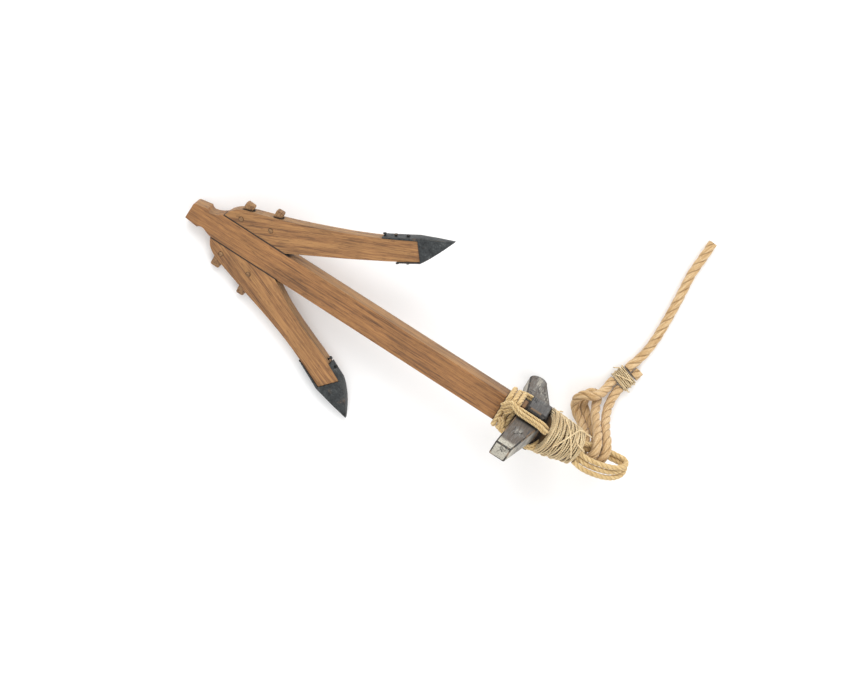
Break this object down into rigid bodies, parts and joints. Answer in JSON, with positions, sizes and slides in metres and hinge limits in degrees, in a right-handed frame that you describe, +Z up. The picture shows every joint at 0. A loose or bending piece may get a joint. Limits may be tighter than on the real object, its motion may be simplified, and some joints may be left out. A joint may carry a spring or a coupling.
{
  "type": "wooden anchor with metal stock",
  "caption": "Old wooden two-armed anchor with iron-tipped arms, a grey metal stock, a rope strop with an eye and a short hitched cable, lying on its side.",
  "frame": {"origin": "on the ground, under the middle of the box of the anchor without its ropes", "axes": "+X from the crown to the ring end as seen from above, +Z up, +Y across towards the side where the cable lies; the anchor lies on its side"},
  "size_m": [0.5118, 0.3546, 0.1586],
  "materials": {
    "shank_wood": "oiled, worn long-grain hardwood",
    "arm_wood": "oiled, worn hardwood following the arm",
    "key_wood": "hand-cut hardwood keys and pins, darker end grain",
    "shoe_iron": "forged, dark, rubbed brown at the edges",
    "nail_iron": "hammered nail heads",
    "stock_metal": "cast grey metal, brushed, with pale oxide on the ends",
    "strop_rope": "three-strand straw-coloured hemp cord",
    "twine": "pale hemp twine in close turns",
    "cable_rope": "three-strand golden hemp rope"
  },
  "bodies": {
    "anchor": {"shank": "shank_wood", "arm_upper": "arm_wood", "arm_lower": "arm_wood", "crown_key_1": "key_wood", "crown_key_2": "key_wood", "lock_pin_upper_1": "key_wood", "lock_pin_upper_2": "key_wood", "lock_pin_lower_1": "key_wood", "lock_pin_lower_2": "key_wood", "shoe_upper": "shoe_iron", "shoe_lower": "shoe_iron", "shoe_nail_upper_1": "nail_iron", "shoe_nail_upper_2": "nail_iron", "shoe_nail_upper_3": "nail_iron", "shoe_nail_upper_4": "nail_iron", "shoe_nail_upper_5": "nail_iron", "shoe_nail_lower_1": "nail_iron", "shoe_nail_lower_2": "nail_iron", "shoe_nail_lower_3": "nail_iron", "shoe_nail_lower_4": "nail_iron", "shoe_nail_lower_5": "nail_iron", "stock": "stock_metal", "strop_turn_1": "strop_rope", "strop_turn_2": "strop_rope", "strop_turn_3": "strop_rope", "strop_leg_top_1": "strop_rope", "strop_leg_top_2": "strop_rope", "strop_leg_top_3": "strop_rope", "strop_leg_under_1": "strop_rope", "strop_leg_under_2": "strop_rope", "strop_leg_under_3": "strop_rope", "strop_seizing": "twine", "strop_eye_1": "strop_rope", "strop_eye_2": "strop_rope", "strop_eye_3": "strop_rope"},
    "cable": {"cable_bend": "cable_rope", "cable_band": "twine", "cable_tail": "cable_rope", "cable": "cable_rope"}
  },
  "joints": [
    {"name": "cable_swing", "type": "hinge", "parent": "anchor", "child": "cable", "pos_m": [0.2658, 0.0076, 0.0585], "axis": [0.9097, 0.1992, -0.3643], "range_deg": [0, 60]}
  ]
}
